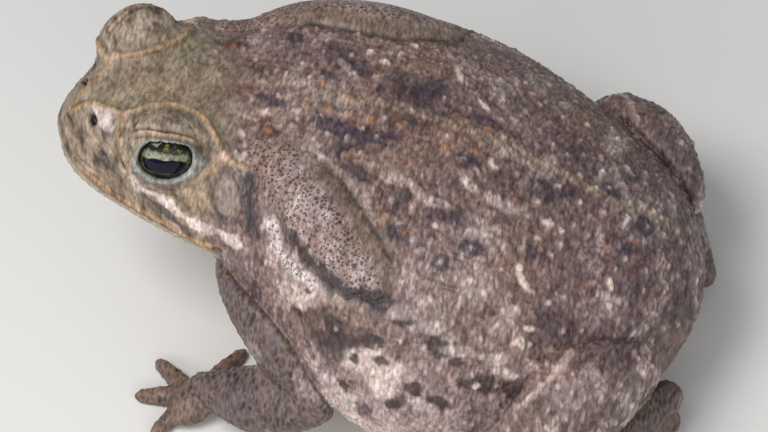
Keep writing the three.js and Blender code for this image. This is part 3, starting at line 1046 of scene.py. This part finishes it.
def paint_limbs(masks, paint, patch):
    limb = masks.limb
    arm = limb * (1 - masks.hand)
    usual = paint.hill
    # Darker in the arm's pits and paler on the ridges between them: painted shade and painted light, varied
    # by random tone
    paint.hill = 1 - 0.85 * masks.valley[:, None] * (0.55 + 0.45 * masks.tint[:, None])
    paint.lay("limb", limb)
    paint.lay("pale", 0.2 * arm * smooth(patch, 0.12, 0.35))
    paint.lay("blotch", 0.5 * arm * smooth(-patch, 0.15, 0.35))
    paint.lay("hand", masks.hand * limb * 0.7)
    paint.hill = usual


def paint_gland(skin, masks, paint):
    """The glands and the marks round them. Returns how much of each point is pored."""
    gland, rim = masks.gland, masks.gland_rim
    paint.lay("gland", gland)
    front = smooth(-to_trunk(skin.ground)[:, 0] + 3 * skin.rough, 14, 24)
    paint.lay("gland_front", 0.8 * gland * front)
    mottle = fractal(skin.ground, 3, 84, 4)
    paint.lay("gland_front", 0.7 * gland * smooth(mottle, 0.05, 0.3))
    paint.lay("white", 0.4 * gland * smooth(-mottle, 0.08, 0.4) * (1 - front))
    paint.lay("olive", 0.8 * rim)
    paint.lay("shade", 0.6 * masks.crease)
    paint.lay("shade", 0.9 * stroke(skin, *GLAND_SHADE, ragged=1.0))
    paint.lay("shade", 0.8 * stroke(skin, *EARDRUM_SHADE))
    white = stroke(skin, *WHITE_BEHIND_EAR)
    paint.lay("white", 0.95 * white)
    return np.maximum(gland * (1 - smooth(rim, 0.1, 0.6)), 0.8 * white)


def paint_head(skin, masks, paint):
    head = to_head(skin.ground)
    face = masks.face
    side = face * smooth(-head[:, 2] + 1.5 * skin.rough, -19, -12)
    slanted = np.stack([head[:, 0] + 0.5 * head[:, 2], 0.5 * head[:, 1], 0.4 * head[:, 2]], axis=1)
    mottle = fractal(slanted, 1.5, 90, 3)
    usual = paint.hill
    contrast = 0.45 + 0.3 * side + 0.4 * masks.lid
    # Random mottle, with the beads a little lighter on their tops: painted light
    paint.hill = np.clip(0.55 + 1.2 * contrast * mottle + 0.15 * masks.bead, 0, 1)[:, None]
    paint.lay("crown", face)
    paint.lay("face", side)
    paint.lay("stripe", 0.5 * face * smooth(fractal(skin.ground, 5, 95), 0.1, 0.4))
    paint.lay("warm", 0.4 * face * smooth(fractal(skin.ground, 7, 97), 0.1, 0.4))
    paint.lay("shade", 0.28 * side * smooth(-mottle, 0.22, 0.5))
    paint.lay("lip", 0.6 * masks.lip)
    paint.lay("face", 0.8 * masks.jaw * (1 - smooth(-skin.facing[:, 2], -0.3, 0.3)))
    throat = masks.jaw * smooth(-skin.facing[:, 2] + 0.4 * skin.rough, -0.25, 0.5)
    paint.lay("belly", throat)
    paint.lay("face", 0.7 * throat * smooth(mottle, 0.08, 0.3))
    paint.lay("pale", 0.85 * stroke(skin, *UNDER_EYE, ragged=1.3))
    paint.lay("shade", 0.8 * stroke(skin, *CHEEK_STRIPE, ragged=1.1))
    paint.lay("white", 0.7 * spots(skin, NOSE_PATCH, 0.8))
    paint.lay("crest", 0.7 * stroke(skin, *LIP_LINE))
    paint.lay("shade", 0.6 * stroke(skin, *UNDER_LIP))
    paint.lay("shade", 0.6 * masks.ear_ring)
    paint.lay("eardrum", masks.eardrum)
    paint.lay("lid", masks.lid)
    paint.lay("crest", 0.65 * smooth(masks.ridge + 0.7 * skin.rough, 0.35, 1))
    paint.lay("crest", 0.75 * masks.fold)
    paint.lay("shade", 0.7 * masks.under_fold)
    paint.lay("knob", 0.8 * smooth(masks.knob, 0.4, 0.9))
    paint.lay("rim", masks.rim)
    # Painted shade inside the nostrils and along the mouth's groove
    paint.lay("dark", np.maximum(masks.nostril, 0.85 * masks.mouth))
    paint.hill = usual


def paint_skin(skin, masks):
    """The colour of each point, and how much of it is pored."""
    fine = fractal(to_trunk(skin.ground) * (1, 0.45, 0.45), 0.9, 70, 2)
    # Lighter on the grains, warts and beads and darker between them: partly painted light and painted
    # shade, mixed with random tone
    hill = 0.1 + 0.25 * masks.valley + 0.3 * masks.tint + 0.3 * masks.wart
    hill += 0.12 * masks.bead + 0.3 * fine
    paint = Paint(hill)
    patch = paint_body(skin, masks, paint, hill)
    paint_limbs(masks, paint, patch)
    paint_head(skin, masks, paint)
    pored = paint_gland(skin, masks, paint)
    round_red = [(x, y, long + 1.2, wide + 1, tilt) for x, y, long, wide, tilt in RED_SPOTS]
    paint.lay("shade", 0.5 * spots(skin, round_red))
    paint.lay("red", 0.85 * spots(skin, RED_SPOTS))
    paint.lay("orange", 0.75 * smooth(masks.orange, 0.1, 0.8))
    paint.lay("cream", 0.9 * masks.cream)
    return paint.colour, pored


# The texture map: the gap between its pieces, how much wider it is than their own area, and how often
# each point takes the way that most of its neighbours face
MAP_GAP = 0.8
MAP_SLACK = 1.06
MAP_ROUNDS = 6


def lay_flat(piece, skin):
    """Makes the skin's texture map: each stretch that faces one way is laid down as seen straight on."""
    quads, count = skin.quads, len(skin.points)
    way = np.concatenate([skin.facing, -skin.facing], axis=1)[quads].sum(axis=1).argmax(axis=1)
    for _ in range(MAP_ROUNDS):
        votes = [np.bincount(quads.ravel(), np.repeat(way == k, 4), count) for k in range(6)]
        way = np.stack(votes, axis=1)[quads].sum(axis=1).argmax(axis=1)
    stretch = joined(quads * 6 + way[:, None], count * 6)[quads[:, 0] * 6 + way]
    names, stretch = np.unique(stretch, return_inverse=True)
    flat = np.empty((len(quads), 4, 2))
    for axis in range(3):
        flat[way % 3 == axis] = np.delete(skin.points, axis, axis=1)[quads[way % 3 == axis]]
    low = np.full((len(names), 2), np.inf)
    high = -low
    np.minimum.at(low, stretch, flat.min(axis=1))
    np.maximum.at(high, stretch, flat.max(axis=1))
    size = high - low + MAP_GAP
    width = MAP_SLACK * math.sqrt(size.prod(axis=1).sum())
    place = np.zeros_like(size)
    x = y = row = 0
    for i in np.argsort(-size[:, 1]):
        if x + size[i, 0] > width:
            x, y, row = 0, y + row, 0
        row = max(row, size[i, 1])
        place[i] = x, y
        x += size[i, 0]
    flat += (place - low)[stretch][:, None]
    layer = piece.data.uv_layers.new(name="OFBake")
    layer.data.foreach_set("uv", (flat / max(width, y + row)).astype(np.float32).ravel())


def write_layer(piece, name, kind, values):
    """Stores a number, vector or colour for each point."""
    key = {"FLOAT": "value", "FLOAT_VECTOR": "vector", "FLOAT_COLOR": "color"}[kind]
    layer = piece.data.attributes.new(name, kind, "POINT")
    layer.data.foreach_set(key, np.asarray(values, np.float32).ravel())


def write_paint(piece, colour):
    write_layer(piece, "paint", "FLOAT_COLOR", np.column_stack([colour, np.ones(len(colour))]))


# Materials. Scales count features per metre, and those of the glands' plane per millimetre.
GRAIN_SCALE = 1500
DAMP_SCALE = 260
FIBRE_SCALE = 2500
PORE_SCALE = 1.15
PORE_WOBBLE_SCALE = 1.2
# How high the grain and how deep the pores look, in metres
RELIEF = 0.0003


def node(tree, kind, inputs=(), **settings):
    """A new shader node. Its inputs are values or the sockets that feed them."""
    made = tree.nodes.new(f"ShaderNode{kind}")
    for key, value in settings.items():
        setattr(made, key, value)
    for key, value in dict(inputs).items():
        if isinstance(value, bpy.types.NodeSocket):
            tree.links.new(value, made.inputs[key])
        else:
            made.inputs[key].default_value = value
    return made


def mapped(tree, value, low, high, to_low, to_high):
    ranges = {"Value": value, "From Min": low, "From Max": high, "To Min": to_low, "To Max": to_high}
    return node(tree, "MapRange", ranges).outputs["Result"]


def new_material(name):
    material = bpy.data.materials.new(name)
    material.use_nodes = True
    return material, material.node_tree, material.node_tree.nodes["Principled BSDF"]


def skin_material():
    material, tree, shader = new_material("toad_skin")
    place = node(tree, "TexCoord").outputs["Object"]
    lengthened = {"Vector": place, "Scale": (1, 0.4, 0.4)}
    across = node(tree, "Mapping", lengthened).outputs["Vector"]
    paint = node(tree, "Attribute", attribute_name="paint").outputs["Color"]
    streaks = node(tree, "TexNoise", {"Vector": across, "Scale": GRAIN_SCALE, "Detail": 3,
                                      "Roughness": 0.6})
    tone = mapped(tree, streaks.outputs["Fac"], 0.3, 0.7, 0.5, 1.5)
    colour = node(tree, "VectorMath", {0: paint, 1: tone}, operation="MULTIPLY").outputs["Vector"]
    plane = node(tree, "Attribute", attribute_name="plane").outputs["Vector"]
    pored = node(tree, "Attribute", attribute_name="pored").outputs["Fac"]
    wobble = node(tree, "TexNoise", {"Vector": plane, "Scale": PORE_WOBBLE_SCALE, "Detail": 2})
    bent = node(tree, "VectorMath", {0: plane, 1: wobble.outputs["Color"]}, operation="ADD")
    pores = node(tree, "TexVoronoi", {"Vector": bent.outputs["Vector"], "Scale": PORE_SCALE},
                 voronoi_dimensions="2D")
    size = mapped(tree, pores.outputs["Color"], 0.1, 0.9, 0.14, 0.5)
    near = node(tree, "Math", {0: size, 1: pores.outputs["Distance"]}, operation="SUBTRACT")
    pit = mapped(tree, near.outputs["Value"], 0, 0.16, 0, 0.8)
    pit = node(tree, "Math", {0: pit, 1: pored}, operation="MULTIPLY").outputs["Value"]
    # The pores' pits take a darker colour: painted shade inside them
    pore_shade_colour = (*linear(COATS["pore"][0]), 1)
    mixed = node(tree, "Mix", {0: pit, 6: colour, 7: pore_shade_colour}, data_type="RGBA").outputs[2]
    tree.links.new(mixed, shader.inputs["Base Color"])
    grain = node(tree, "TexVoronoi", {"Vector": across, "Scale": GRAIN_SCALE}, feature="SMOOTH_F1")
    bumps = node(tree, "Bump", {"Height": grain.outputs["Distance"], "Strength": 0.5,
                                "Distance": RELIEF}, invert=True)
    wrinkles = node(tree, "Bump", {"Height": streaks.outputs["Fac"], "Strength": 0.5,
                                   "Distance": RELIEF, "Normal": bumps.outputs["Normal"]})
    pits = node(tree, "Bump", {"Height": pit, "Strength": 0.6, "Distance": RELIEF,
                               "Normal": wrinkles.outputs["Normal"]}, invert=True)
    tree.links.new(pits.outputs["Normal"], shader.inputs["Normal"])
    damp = node(tree, "TexNoise", {"Vector": place, "Scale": DAMP_SCALE, "Detail": 3})
    tree.links.new(mapped(tree, damp.outputs["Fac"], 0.35, 0.65, 0.36, 0.62), shader.inputs["Roughness"])
    shader.inputs["Specular IOR Level"].default_value = 0.45
    return material


# Eyes

# The pupil's half width and height, and how far it lies under the eye's middle
PUPIL = (4.7, 1.8)
PUPIL_DROP = 0.6
BALL_RINGS = 120
BALL_SPOKES = 160


def ball(rings, spokes):
    """Points of a unit ball and its quads, with the poles along z."""
    theta = (np.arange(rings) + 0.5) / rings * math.pi
    phi = np.arange(spokes) / spokes * 2 * math.pi
    theta, phi = np.meshgrid(theta, phi, indexing="ij")
    points = np.stack([np.sin(theta) * np.cos(phi), np.sin(theta) * np.sin(phi), np.cos(theta)], axis=-1)
    ring, spoke = np.meshgrid(np.arange(rings - 1), np.arange(spokes), indexing="ij")
    along = ring * spokes + spoke
    across = ring * spokes + (spoke + 1) % spokes
    quads = np.stack([along, along + spokes, across + spokes, across], axis=-1)
    return points.reshape(-1, 3), quads.reshape(-1, 4)


def paint_eye(local):
    """The eye's colours: a wide dark pupil in a flecked dark iris, with a paler band over it that is a
    painted reflection of the sky.
    """
    across, up, _ = local.T * EYE_RADIUS
    reach_up = np.abs(up + PUPIL_DROP) / PUPIL[1]
    pupil = np.cbrt(np.abs(across / PUPIL[0]) ** 3 + reach_up ** 3)
    pupil += 0.06 * noise(local * EYE_RADIUS, 1.2, 5)
    flecks = fractal(local * EYE_RADIUS, 0.8, 21, 4)
    reach = np.hypot(across, up)
    paint = Paint(0.5 + flecks)
    paint.lay("iris")
    paint.lay("gold", 0.7 * smooth(flecks, 0.1, 0.5) * (1 - smooth(reach, 5, 6.4)) * smooth(up, -5, 3))
    # Painted reflection of the sky: a paler band across the iris above the pupil
    band = smooth(up, 0.3, 1) * (1 - smooth(up + 1.6 * flecks, 1.9, 2.9))
    paint.lay("painted_sky_reflection", 0.9 * band * (1 - smooth(reach, 4.2, 6)))
    paint.lay("gold", 0.4 * bump(pupil - 1.1, 0.1))
    paint.lay("pupil", 1 - smooth(pupil, 0.95, 1.04))
    paint.lay("pupil", smooth(reach, 5.8, 6.6))
    return paint.colour


def eye_material():
    material, tree, shader = new_material("toad_eye")
    place = node(tree, "TexCoord").outputs["Object"]
    paint = node(tree, "Attribute", attribute_name="paint").outputs["Color"]
    fibres = node(tree, "TexNoise", {"Vector": place, "Scale": FIBRE_SCALE, "Detail": 2})
    tone = mapped(tree, fibres.outputs["Fac"], 0.2, 0.8, 0.6, 1.4)
    colour = node(tree, "VectorMath", {0: paint, 1: tone}, operation="MULTIPLY")
    tree.links.new(colour.outputs["Vector"], shader.inputs["Base Color"])
    shader.inputs["Roughness"].default_value = 0.05
    shader.inputs["Specular IOR Level"].default_value = 0.25
    return material


def make_eye(name, side, material):
    local, quads = ball(BALL_RINGS, BALL_SPOKES)
    axes = np.stack([EYE_ACROSS, EYE_UP, EYE_OUT])
    in_head = (local * EYE_RADIUS) @ axes + EYE_CENTRE
    points = (in_head * (1, side, 1) - HEAD_PIVOT) @ HEAD_AXES.T + HEAD_PLACE
    piece = make_mesh(f"eye_of_{name}", points, quads if side == LEFT else quads[:, ::-1])
    write_paint(piece, paint_eye(local))
    piece.data.materials.append(material)
    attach(piece, "root")
    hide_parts(f"eye_{name}")


def make_skin():
    skin, masks = grow_skin()
    colour, pored = paint_skin(skin, masks)
    piece = make_mesh("skin", skin.points, skin.quads)
    write_paint(piece, colour)
    lay_flat(piece, skin)
    write_layer(piece, "plane", "FLOAT_VECTOR", skin.plane)
    write_layer(piece, "pored", "FLOAT", pored)
    piece.data.materials.append(skin_material())
    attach(piece, "root")
    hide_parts(*[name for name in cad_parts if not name.startswith("eye_")])


# Stage. Places are in metres.

# Each light's name, place, width and height, and power
LIGHTS = (
    ("key", (-0.3, -0.35, 0.8), (0.4, 0.4), 5.4),
    ("fill", (0.55, -0.5, 0.45), (0.5, 0.5), 0.8),
    ("strip", (-0.05, -0.55, 0.34), (1.2, 0.12), 2))
LIT_POINT = (0, 0, 0.03)
FLOOR_SIZE = 6
FLOOR_COLOUR = (0.72, 0.71, 0.69, 1)
SKY_COLOUR = (0.93, 0.96, 1, 1)
SKY_STRENGTH = 0.32
SENSOR_WIDTH = 36


def look_at(piece, target):
    piece.rotation_mode = "QUATERNION"
    piece.rotation_quaternion = (Vector(target) - piece.location).to_track_quat("-Z", "Y")


def make_camera():
    data = bpy.data.cameras.new("camera")
    camera = bpy.data.objects.new("camera", data)
    bpy.context.scene.collection.objects.link(camera)
    target = Vector(CAMERA_TARGET) * MM
    camera.location = target + Vector(TO_CAMERA) * CAMERA_DISTANCE * MM
    look_at(camera, target)
    data.sensor_width = SENSOR_WIDTH
    data.lens = SENSOR_WIDTH * PIXELS_PER_RADIAN / PHOTO_SIZE[0]
    data.clip_start = 0.01
    bpy.context.scene.camera = camera


def make_light(name, place, size, power):
    """A soft light of a width and a height."""
    data = bpy.data.lights.new(name, "AREA")
    data.shape = "RECTANGLE"
    data.size, data.size_y = size
    data.energy = power
    light = bpy.data.objects.new(name, data)
    bpy.context.scene.collection.objects.link(light)
    light.location = place
    look_at(light, LIT_POINT)


def make_floor():
    bpy.ops.mesh.primitive_plane_add(size=FLOOR_SIZE)
    floor = bpy.context.object
    floor.name = "floor"
    material, _, shader = new_material("floor")
    shader.inputs["Base Color"].default_value = FLOOR_COLOUR
    shader.inputs["Roughness"].default_value = 0.9
    floor.data.materials.append(material)


def make_sky():
    world = bpy.data.worlds.new("studio")
    bpy.context.scene.world = world
    world.use_nodes = True
    background = world.node_tree.nodes["Background"]
    background.inputs["Color"].default_value = SKY_COLOUR
    background.inputs["Strength"].default_value = SKY_STRENGTH
    bpy.context.scene.view_settings.view_transform = "Standard"


make_skin()
eye_look = eye_material()
for name, side in SIDES.items():
    make_eye(name, side, eye_look)
make_camera()
for light in LIGHTS:
    make_light(*light)
make_floor()
make_sky()
